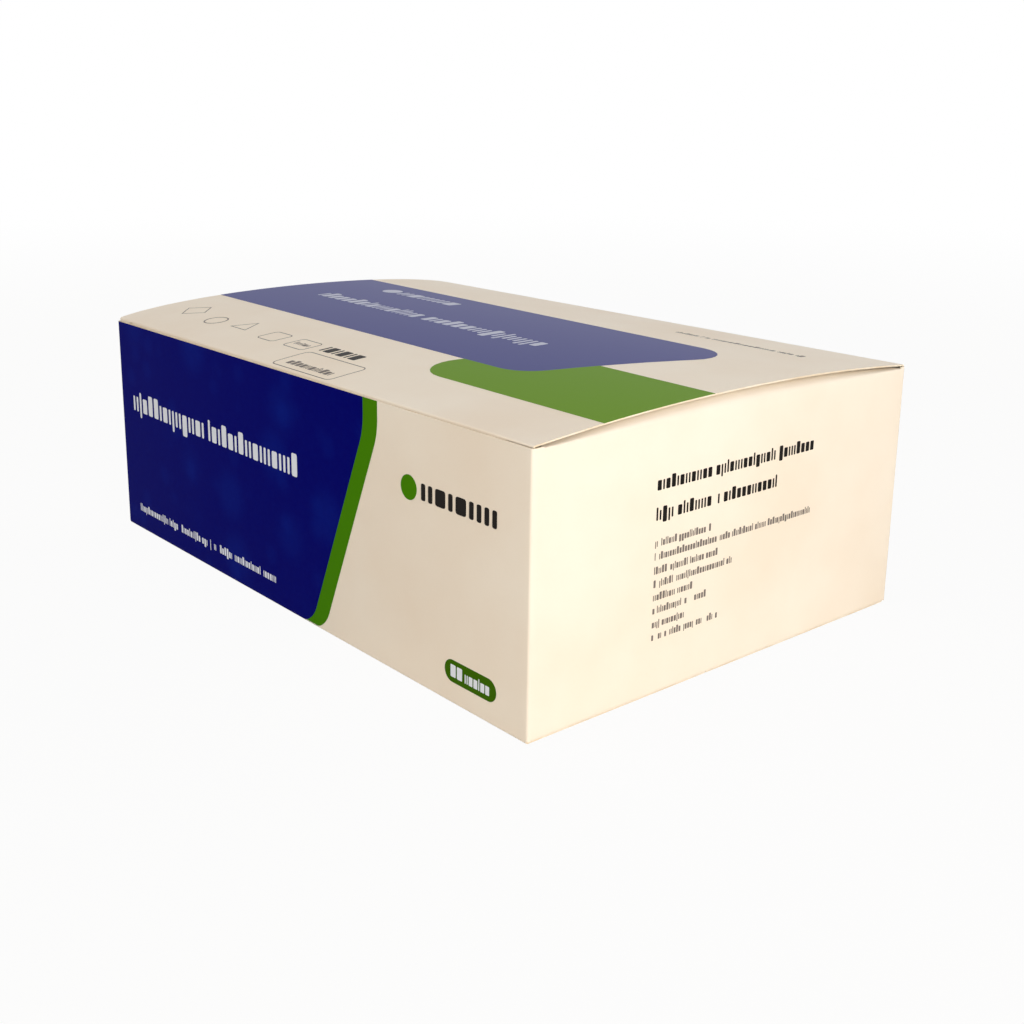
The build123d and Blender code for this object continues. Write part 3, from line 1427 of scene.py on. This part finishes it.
@dataclass
class TuckLid:
    """The lid: a bowed panel, its round front crease, the tuck flap and the slits beside it."""

    finishes: Finishes
    tuck_tip_z: float = 52.0
    tuck_lean: float = 1.466
    tuck_front: float = -69.3
    crease_radius: float = 0.5
    corner_low: float = 70.05
    tuck_half_length: float = 100.7
    tuck_corner: float = 11.0
    slit_length: float = 9.0
    slit_height: float = 0.45
    step_along: float = 6.0
    step_across: float = 3.0
    support_x: float = 97.0
    tuck_corner_steps: int = 8
    tuck_supports: Point = (66.0, 68.5)
    crease_support: float = 0.9
    hinge_support: float = 1.0
    slack: float = 0.1
    bead_sides: int = 12
    bead_short: float = 0.1

    def __post_init__(self) -> None:
        """Work out the places that follow from the sizes."""
        self.sheet = Sheet()
        self.thickness = BOARD + Level.BOARD.value
        self.slit_x = LID_HALF_LENGTH - self.slit_length
        self.straight_x = self.tuck_half_length - self.tuck_corner

    def build(self) -> None:
        """Build the lid as one piece."""
        rows, slit_rows = self.flap_rows()
        start = len(rows)
        rows += self.crease_rows()
        rows += self.panel_rows()
        columns = self.columns()

        def is_open(row: int, column: int) -> bool:
            """Say which cells the slits and the flap's shorter ends leave out.

            Args:
                row: the cell's row, from the flap's tip.
                column: the cell's column, from the left.

            Returns:
                Whether the cell is left out.
            """
            middle = abs(columns[column] + columns[column + 1]) / 2
            if middle > self.tuck_half_length and row < start:
                return True
            return middle > self.slit_x and row == slit_rows

        self.sheet.patch(rows, is_open)
        mesh = thicken_board(self.sheet, self.thickness, "lid_board", self.finishes)
        self.add_bead(mesh)
        place_piece("lid_board", mesh, Body.LID, ("lid",))

    def columns(self) -> list[float]:
        """Give the columns along the lid.

        Returns:
            Their places, X, from left to right.
        """
        right = [
            self.straight_x,
            self.slit_x,
            self.support_x,
            self.tuck_half_length,
            LID_HALF_LENGTH,
        ]
        middle = spread(-self.straight_x, self.straight_x, self.step_along)
        return [-x for x in reversed(right)] + middle + right

    def front_y(self, x: float, z: float) -> float:
        """Give the Y of the tuck flap's outer side at one height.

        Args:
            x: the place along the lid.
            z: the height.

        Returns:
            The place, Y.
        """
        top = HEIGHT + along_lid(LID_LIFT, x) + BOARD
        share = (top - z) / (top - self.tuck_tip_z)
        return self.tuck_front + self.tuck_lean * share

    def flap_rows(self) -> tuple[list[list[Place]], int]:
        """Give the tuck flap's rows from its tip up to the slits.

        Returns:
            The rows, and the number of the row where the slits begin.
        """
        rows = []
        heights = []
        for step in range(self.tuck_corner_steps + 1):
            angle = step / (2 * self.tuck_corner_steps) * math.pi
            heights.append(self.tuck_tip_z + self.tuck_corner * (1 - math.cos(angle)))
        for z in [*heights, *self.tuck_supports]:
            above = max(0.0, self.tuck_tip_z + self.tuck_corner - z)
            reach = math.sqrt(max(0.0, self.tuck_corner**2 - above**2))
            row = []
            for x in self.columns():
                beyond = max(0.0, min(abs(x), self.tuck_half_length) - self.straight_x)
                spare = max(0.0, abs(x) - self.tuck_half_length)
                place = min(abs(x), self.straight_x) + beyond * reach / self.tuck_corner + spare
                at = math.copysign(place, x)
                row.append((at, self.front_y(at, z), z))
            rows.append(row)
        slit = []
        for x in self.columns():
            z = HEIGHT + along_lid(LID_LIFT, x) - self.slit_height
            slit.append((x, self.front_y(x, z), z))
        rows.append(slit)
        return rows, len(rows) - 1

    def crease_rows(self) -> list[list[Place]]:
        """Give the rows of the round crease between the flap and the panel.

        Returns:
            Rows of points, from the flap to the panel.
        """
        rows = []
        for step in range(CREASE_STEPS + 1):
            share = step / CREASE_STEPS
            row = []
            for x in self.columns():
                top = HEIGHT + along_lid(LID_LIFT, x) + self.thickness
                corner = (self.front_y(x, top), top)
                low = top - self.crease_radius
                if abs(x) > self.slit_x + self.slack:
                    low = self.corner_low
                under = (self.front_y(x, low), low)
                back = corner[0] + self.crease_radius
                over = (back, on_lid(x, back, Level.BOARD.value)[2])
                weights = ((1 - share) ** 2, 2 * share * (1 - share), share**2)
                points = (under, corner, over)
                y, z = (
                    sum(weight * point[axis] for weight, point in zip(weights, points))
                    for axis in (0, 1)
                )
                row.append((x, y, z))
            rows.append(row)
        return rows

    def panel_rows(self) -> list[list[Place]]:
        """Give the panel's rows from the crease to the hinge.

        Returns:
            Rows of points, from front to back.
        """
        front = self.tuck_front + self.crease_radius + self.crease_support
        back = HINGE_Y - self.hinge_support
        places = [front, *spread(front, back, self.step_across), back, HINGE_Y]
        return [[on_lid(x, y, Level.BOARD.value) for x in self.columns()] for y in places]

    def add_bead(self, mesh: bpy.types.Mesh) -> None:
        """Add the round back edge of the hinge fold to the lid's mesh.

        Args:
            mesh: the lid's mesh.
        """
        radius = self.thickness / 2
        bead = bmesh.new()
        bead.from_mesh(mesh)
        place = (
            Matrix.Translation((0, HINGE_Y * MM, (HINGE_Z - BOARD / 2 + radius) * MM))
            @ Matrix.Rotation(math.pi / 2, 4, "Y")
        )
        bmesh.ops.create_cone(
            bead,
            cap_ends=True,
            segments=self.bead_sides,
            radius1=radius * MM,
            radius2=radius * MM,
            depth=(2 * LID_HALF_LENGTH - self.bead_short) * MM,
            matrix=place,
        )
        bead.to_mesh(mesh)
        bead.free()


@dataclass
class FrontPrint:
    """Print on the front wall: blue field, green stripe, badge and rows of words.

    Places are measured from the wall's left edge and its top edge.
    """

    finishes: Finishes
    blue_end: float = 141.3
    straight: float = 8.4
    slant: float = 0.425
    top_radius: float = 20.0
    bottom_radius: float = 10.0
    stripe_width: float = 6.2
    badge_length: float = 19.2
    badge_height: float = 5.8
    badge_from_right: float = 20.8
    badge_from_top: float = 61.3
    badge_rounding: float = 0.999
    badge_inset: float = 2.3
    badge_base: float = 1.5
    badge_large: Point = (0.0, 4.4)
    badge_small: Point = (5.4, 14.4)
    title_from_top: float = 28.6
    title: tuple[Point, Point] = ((8.9, 56.7), (59.6, 109.5))
    subtitle_from_top: float = 63.3
    subtitle: tuple[Point, Point] = ((9.7, 55.7), (60.1, 96.4))
    bar_place: Point = (57.7, 64.0)
    bar_size: Point = (0.35, 3.4)
    mark_place: Point = (165.4, 21.2)
    mark_length: float = 28.0
    disc_place: Point = (160.4, 19.1)
    disc_radius: float = 3.2
    edge: float = 0.08
    crease_cuts: tuple[float, ...] = (0.2, 0.4, 0.65, 0.9, 1.6)
    right_cuts: tuple[float, float, float] = (-100.0, 60.0, 20.0)
    up_cuts: tuple[float, ...] = (20.0, 40.0, 60.0, 69.0)

    def at(self, from_left: float, from_top: float) -> Point:
        """Turn a place on the print into X and Z."""
        return from_left - HALF_LENGTH, HEIGHT - from_top

    def end_line(self, shift: float) -> list[Point]:
        """Give the blue field's slanted end, from the bottom up.

        Args:
            shift: how far to the right the line is moved.

        Returns:
            Its points, as X and Z.
        """
        foot = self.blue_end - self.slant * (HEIGHT - self.straight)
        corners = [(0, HEIGHT), (foot, HEIGHT), (self.blue_end, self.straight), (self.blue_end, 0)]
        points = [self.at(from_left + shift, from_top) for from_left, from_top in corners]
        line = rounded(points, [0, self.bottom_radius, self.top_radius, 0])[1:]
        return [(x, max(z, self.edge)) for x, z in line]

    def build(self) -> None:
        """Lay every layer of the print."""
        finishes = self.finishes
        left = -HALF_LENGTH + self.edge
        line = self.end_line(0.0)
        corner = rounded([(left, HEIGHT), (left, self.edge), line[0]], [0, CREASE_RADIUS, 0])[1:-1]
        outline = [*corner, *line, (left, HEIGHT)]
        blue = self.layer(
            "front_blue", finishes.front_blue, Level.FIELD, Slot.BLUE, "front_blue_field"
        )
        rights = [-HALF_LENGTH + cut for cut in self.crease_cuts] + spread(*self.right_cuts)
        blue.flat = cut_to_grid(outline, rights, [*self.crease_cuts, *self.up_cuts])
        blue.lay()
        stripe = self.layer(
            "front_green", finishes.front_green, Level.FIELD, Slot.GREEN, "front_green_stripe"
        )
        stripe.flat.add_band(self.end_line(self.stripe_width), line, closed=False)
        stripe.lay()
        self.lay_badge()
        self.lay_words()

    def layer(
        self,
        name: str,
        material: bpy.types.Material,
        level: Level,
        slot: Slot | None = None,
        node: str = "",
    ) -> PrintLayer:
        """Start a layer on the front wall."""
        replaced = (node,) if node else ()
        return PrintLayer(name, Body.CARTON, on_front, material, level, slot, replaced)

    def lay_badge(self) -> None:
        """Lay the badge and the light marks in it."""
        finishes = self.finishes
        centre = self.at(LENGTH - self.badge_from_right, self.badge_from_top)
        half, radius = self.badge_length / 2, self.badge_height / 2
        corners = [(-half, -radius), (half, -radius), (half, radius), (-half, radius)]
        outline = rounded(corners, [radius * self.badge_rounding] * 4)
        badge = self.layer(
            "front_pill", finishes.dark_green, Level.FIELD, Slot.GREEN, "front_badge"
        )
        badge.flat.add(Flat(outline, [list(range(len(outline)))]), *centre)
        badge.lay()
        left, base = centre[0] - half + self.badge_inset, centre[1] - self.badge_base
        large, small = self.badge_large, self.badge_small
        marks = self.layer("pill_marks", finishes.white, Level.WORDS)
        rows = (
            WordRow(BADGE_LARGE, left + large[0], left + large[1], base, seed=3),
            WordRow(BADGE_SMALL, left + small[0], left + small[1], base, seed=4),
        )
        marks.set_rows(rows)
        marks.lay()

    def row(self, lettering: Lettering, ends: Point, from_top: float, seed: int) -> WordRow:
        """Give a row of words between two places on the print."""
        left, base = self.at(ends[0], from_top)
        return WordRow(lettering, left, left + ends[1] - ends[0], base, seed)

    def lay_words(self) -> None:
        """Lay the light rows on the blue field, and the dark mark and its disc beside it."""
        finishes = self.finishes
        words = self.layer("front_words", finishes.white, Level.WORDS)
        rows = (
            self.row(TITLE, self.title[0], self.title_from_top, seed=11),
            self.row(TITLE, self.title[1], self.title_from_top, seed=12),
            self.row(SUBTITLE, self.subtitle[0], self.subtitle_from_top, seed=13),
            self.row(SUBTITLE, self.subtitle[1], self.subtitle_from_top, seed=14),
        )
        words.set_rows(rows)
        left, base = self.at(*self.bar_place)
        right, top = left + self.bar_size[0], base + self.bar_size[1]
        words.flat.add_outline([(left, base), (right, base), (right, top), (left, top)])
        words.lay()
        mark = self.layer("front_mark", finishes.black, Level.WORDS)
        left, base = self.at(*self.mark_place)
        row = WordRow(FRONT_MARK, left, left + self.mark_length, base, seed=21)
        mark.set_rows((row,))
        mark.lay()
        disc = self.layer("front_disc", finishes.front_green, Level.WORDS)
        disc.flat.add_outline(circle(self.at(*self.disc_place), self.disc_radius))
        disc.lay()


@dataclass
class EndPrint:
    """Print on the right end wall: two bold rows and a block of fine rows.

    A row is given as its distance from the wall's top edge, and its end's from the front edge.
    """

    finishes: Finishes
    line_start: float = 40.0
    bold_rows: tuple[Point, ...] = ((16.9, 99.8), (24.4, 85.2))
    bold_seed: int = 31
    fine_rows: tuple[Point, ...] = (
        (30.1, 60.0),
        (33.5, 100.1),
        (37.1, 63.0),
        (40.5, 68.7),
        (43.9, 54.0),
        (47.3, 59.3),
        (50.9, 51.4),
        (54.2, 64.1),
    )
    fine_lower: float = 0.9
    fine_seed: int = 41

    def lines(
        self, lettering: Lettering, rows: tuple[Point, ...], lower: float, seed: int
    ) -> list[WordRow]:
        """Give the rows of one block of words.

        Args:
            lettering: their lettering.
            rows: each row's distance from the top, and its end.
            lower: how far under that distance the words stand.
            seed: the first row's seed.

        Returns:
            The rows, from the top down.
        """
        left = self.line_start - HALF_WIDTH
        return [
            WordRow(lettering, left, end - HALF_WIDTH, HEIGHT - from_top - lower, seed + number)
            for number, (from_top, end) in enumerate(rows)
        ]

    def build(self) -> None:
        """Lay both layers."""
        finishes = self.finishes
        bold = PrintLayer("end_words", Body.CARTON, on_end, finishes.black, Level.WORDS)
        bold.set_rows(self.lines(END_BOLD, self.bold_rows, 0.0, self.bold_seed))
        bold.lay()
        fine = PrintLayer("end_lines", Body.CARTON, on_end, finishes.grey, Level.WORDS)
        rows = self.lines(END_FINE, self.fine_rows, self.fine_lower, self.fine_seed)
        fine.set_rows(rows)
        fine.lay()


@dataclass
class LidPrint:
    """Print on the lid: blue field, green field, pale words and small grey marks.

    Places are measured from the middle of the box.
    """

    finishes: Finishes
    slant: float = 0.36
    blue_front: float = -31.5
    blue_back: float = 32.5
    blue_end: float = 66.2
    blue_radius: float = 12.0
    green_front: float = -48.0
    green_back: float = -10.2
    green_start: float = 26.1
    green_radius: float = 11.0
    nose_back: float = -12.0
    cut_along: float = 6.0
    cut_across: float = 2.5
    cut_reach: float = 69.0
    title: tuple[WordRow, ...] = (
        WordRow(LID_TITLE, -79.0, -24.5, -6.6, seed=51),
        WordRow(LID_TITLE, -20.5, 33.0, -6.6, seed=52),
        WordRow(LID_MARK, -66.0, -36.0, 17.5, seed=53),
    )
    disc_place: Point = (-71.5, 20.2)
    disc_radius: float = 3.6
    marks: tuple[Mark | BoxMark, ...] = (
        Mark((-84.8, -50.0), corners=4, radius=5.6, inset=0.448),
        Mark((-66.3, -53.0), corners=40, radius=4.0, inset=0.448),
        Mark((-50.9, -51.5), corners=3, radius=5.2, inset=0.64),
        BoxMark((-31.7, -52.4), width=9.0, depth=8.0, radius=1.5),
        BoxMark((-16.4, -52.4), width=10.5, depth=8.0, radius=1.5),
        BoxMark((6.5, -62.0), width=29.0, depth=13.0, radius=2.0),
    )
    grey_rows: tuple[WordRow, ...] = (
        WordRow(LID_TINY, -20.0, -13.0, -53.4, seed=61),
        WordRow(LID_BOXED, -4.0, 17.0, -66.0, seed=62),
        WordRow(LID_LINE, 36.0, 83.0, 48.6, seed=63),
    )
    dark_rows: tuple[WordRow, ...] = (WordRow(LID_DARK, -7.0, 10.5, -53.2, seed=64),)

    def nose_x(self, y: float) -> float:
        """Give the X of the blue field's slanted end."""
        return self.blue_end + self.slant * y

    def blue_outline(self) -> list[Point]:
        """Give the blue field's outline, from its front left corner.

        Returns:
            Its points, anticlockwise.
        """
        corners = [
            (-LID_HALF_LENGTH, self.blue_front),
            (self.nose_x(self.blue_front), self.blue_front),
            (self.nose_x(self.blue_back), self.blue_back),
            (-LID_HALF_LENGTH, self.blue_back),
        ]
        return rounded(corners, [0, self.blue_radius, self.blue_radius, 0])

    def green_outline(self) -> list[Point]:
        """Give the green field's outline, less the place that the blue field takes.

        Returns:
            Its points, anticlockwise.
        """
        front, back = self.blue_front, self.nose_back
        nose = [point for point in self.blue_outline() if front <= point[1] < back]
        start = self.green_start + self.slant * (self.blue_front - self.green_front)
        rim = [point for point in nose if point[0] > start]
        corner = rounded(
            [
                (start, self.blue_front),
                (self.green_start, self.green_front),
                (LID_HALF_LENGTH, self.green_front),
            ],
            [0, self.green_radius, 0],
        )[1:-1]
        return [
            *corner,
            (LID_HALF_LENGTH, self.green_front),
            (LID_HALF_LENGTH, self.green_back),
            (self.nose_x(self.green_back), self.green_back),
            *reversed(rim),
            (start, self.blue_front),
        ]

    def build(self) -> None:
        """Lay every layer of the print."""
        finishes = self.finishes
        rights = spread(-LID_HALF_LENGTH, LID_HALF_LENGTH, self.cut_along)
        ups = spread(-self.cut_reach, self.cut_reach, self.cut_across)
        blue = self.layer("lid_blue", finishes.lid_blue, Level.FIELD, Slot.BLUE, "lid_blue_field")
        blue.flat = cut_to_grid(self.blue_outline(), rights, ups)
        blue.lay()
        green = self.layer(
            "lid_green", finishes.lid_green, Level.FIELD, Slot.GREEN, "lid_green_field"
        )
        green.flat = cut_to_grid(self.green_outline(), rights, ups)
        green.lay()
        self.lay_words()
        self.lay_marks()

    def layer(
        self,
        name: str,
        material: bpy.types.Material,
        level: Level,
        slot: Slot | None = None,
        node: str = "",
    ) -> PrintLayer:
        """Start a layer on the lid."""
        replaced = (node,) if node else ()
        return PrintLayer(name, Body.LID, on_lid, material, level, slot, replaced)

    def lay_words(self) -> None:
        """Lay the pale words on the blue field."""
        words = self.layer("lid_words", self.finishes.pale, Level.WORDS)
        words.set_rows(self.title)
        words.flat.add_outline(circle(self.disc_place, self.disc_radius))
        words.lay()

    def lay_marks(self) -> None:
        """Lay the plain outlined marks and small words along the lid's front and back."""
        finishes = self.finishes
        grey = self.layer("lid_marks", finishes.grey, Level.UNDERPRINT)
        for mark in self.marks:
            grey.flat.add(mark.band())
        grey.set_rows(self.grey_rows)
        grey.lay()
        dark = self.layer("lid_dark_mark", finishes.black, Level.UNDERPRINT)
        dark.set_rows(self.dark_rows)
        dark.lay()


@dataclass(frozen=True)
class Lamp:
    """A square soft lamp that faces the box: its place, its power in watts and its side."""

    name: str
    place: Place
    power: float
    size: float


@dataclass
class Studio:
    """Pale floor, white surroundings, soft lamps and the camera at the photograph's angle."""

    azimuth: float = 50.969
    elevation: float = 14.266
    roll: float = 0.217
    eye: Place = (304.3, -254.1, 144.8)
    lens: float = 46.40
    shift: Point = (0.0520, -0.0854)
    sensor: float = 36.0
    clip: Point = (0.01, 50.0)
    sky: float = 0.3
    floor_size: float = 8000.0
    floor_z: float = -0.05
    floor_paint: str = "d6d1c9"
    floor_white: float = 0.94
    floor_fade: Point = (300.0, 1300.0)
    lamps: tuple[Lamp, ...] = (
        Lamp("key", (700.0, -250.0, 210.0), power=4.1, size=450.0),
        Lamp("fill", (-450.0, -850.0, 700.0), power=2.8, size=700.0),
        Lamp("top", (0.0, 0.0, 1200.0), power=1.4, size=700.0),
        Lamp("back", (100.0, 1000.0, 700.0), power=1.6, size=700.0),
    )

    def build(self) -> None:
        """Build the studio."""
        self.add_camera()
        self.add_floor()
        self.add_surroundings()
        for lamp in self.lamps:
            self.add_lamp(lamp)
        bpy.context.scene.view_settings.view_transform = "Standard"
        LOG.info("studio: camera, floor, surroundings and %d lamps", len(self.lamps))

    def add_camera(self) -> None:
        """Put the camera where the photograph was taken from."""
        data = bpy.data.cameras.new("camera")
        data.lens = self.lens
        data.sensor_width = self.sensor
        data.shift_x, data.shift_y = self.shift
        data.clip_start, data.clip_end = self.clip
        camera = bpy.data.objects.new("camera", data)
        bpy.context.scene.collection.objects.link(camera)
        turn = (
            Matrix.Rotation(math.radians(self.azimuth), 4, "Z")
            @ Matrix.Rotation(math.radians(90 - self.elevation), 4, "X")
            @ Matrix.Rotation(math.radians(self.roll), 4, "Z")
        )
        camera.matrix_world = Matrix.Translation([value * MM for value in self.eye]) @ turn
        bpy.context.scene.camera = camera

    def white_rays(self, tree: bpy.types.NodeTree) -> bpy.types.NodeSocket:
        """Give 1 for camera, glossy and transmission rays, and 0 for the others.

        Args:
            tree: the material's or the world's tree.

        Returns:
            The output with the 1 or 0.
        """
        path = add_node(tree, "ShaderNodeLightPath").outputs
        seen = add_node(
            tree,
            "ShaderNodeMath",
            {"operation": "MAXIMUM"},
            {0: path["Is Camera Ray"], 1: path["Is Glossy Ray"]},
        )
        both = add_node(
            tree,
            "ShaderNodeMath",
            {"operation": "MAXIMUM"},
            {0: seen.outputs[0], 1: path["Is Transmission Ray"]},
        )
        return both.outputs[0]

    def add_surroundings(self) -> None:
        """Make the world white to look at, and a soft even light otherwise."""
        world = bpy.data.worlds.new("surroundings")
        bpy.context.scene.world = world
        world.use_nodes = True
        tree = world.node_tree
        tree.nodes.clear()
        light = add_node(tree, "ShaderNodeBackground", {"Strength": self.sky})
        light.inputs["Color"].default_value = (1, 1, 1, 1)
        white = add_node(tree, "ShaderNodeBackground", {"Strength": 1.0})
        white.inputs["Color"].default_value = (1, 1, 1, 1)
        mixed = add_node(
            tree,
            "ShaderNodeMixShader",
            links={0: self.white_rays(tree), 1: light.outputs[0], 2: white.outputs[0]},
        )
        add_node(tree, "ShaderNodeOutputWorld", links={"Surface": mixed.outputs[0]})

    def add_floor(self) -> None:
        """Lay the floor: pale and matt, nearly white to look at, with the box's shadow on it."""
        half, low = self.floor_size / 2, self.floor_z
        corners = [(-half, -half, low), (half, -half, low), (half, half, low), (-half, half, low)]
        mesh = make_mesh("floor", corners, [[0, 1, 2, 3]])
        material = bpy.data.materials.new("matt_white_paint")
        material.use_nodes = True
        tree = material.node_tree
        tree.nodes.clear()
        paint = add_node(tree, "ShaderNodeBsdfDiffuse")
        paint.inputs["Color"].default_value = linear(self.floor_paint)
        glow = add_node(tree, "ShaderNodeEmission", {"Strength": 1.0})
        where = add_node(tree, "ShaderNodeTexCoord").outputs["Object"]
        reach = add_node(tree, "ShaderNodeVectorMath", {"operation": "LENGTH"}, {0: where})
        near, far = self.floor_fade
        fade = add_node(
            tree,
            "ShaderNodeMapRange",
            {
                "interpolation_type": "SMOOTHSTEP",
                "From Min": near * MM,
                "From Max": far * MM,
                "To Min": self.floor_white,
                "To Max": 1.0,
            },
            {"Value": reach.outputs["Value"]},
        )
        share = add_node(
            tree,
            "ShaderNodeMath",
            {"operation": "MULTIPLY"},
            {0: self.white_rays(tree), 1: fade.outputs["Result"]},
        )
        mixed = add_node(
            tree,
            "ShaderNodeMixShader",
            links={0: share.outputs[0], 1: paint.outputs[0], 2: glow.outputs[0]},
        )
        add_node(tree, "ShaderNodeOutputMaterial", links={"Surface": mixed.outputs[0]})
        mesh.materials.append(material)
        floor = bpy.data.objects.new("floor", mesh)
        bpy.context.scene.collection.objects.link(floor)

    def add_lamp(self, given: Lamp) -> None:
        """Add a lamp, turned towards the box.

        Args:
            given: its name, place, power and size.
        """
        data = bpy.data.lights.new(given.name, "AREA")
        data.energy = given.power
        data.size = given.size * MM
        lamp = bpy.data.objects.new(given.name, data)
        bpy.context.scene.collection.objects.link(lamp)
        start = Matrix.Translation([value * MM for value in given.place])
        aim = -start.translation
        lamp.matrix_world = start @ aim.to_track_quat("-Z", "Y").to_matrix().to_4x4()


def main() -> None:
    """Build the dressed carton and its studio."""
    logging.basicConfig(level=logging.INFO, format="%(name)s: %(message)s", force=True)
    finishes = Finishes()
    CartonBody(finishes).build()
    TuckLid(finishes).build()
    FrontPrint(finishes).build()
    EndPrint(finishes).build()
    LidPrint(finishes).build()
    Studio().build()


if __name__ == "__main__":
    main()
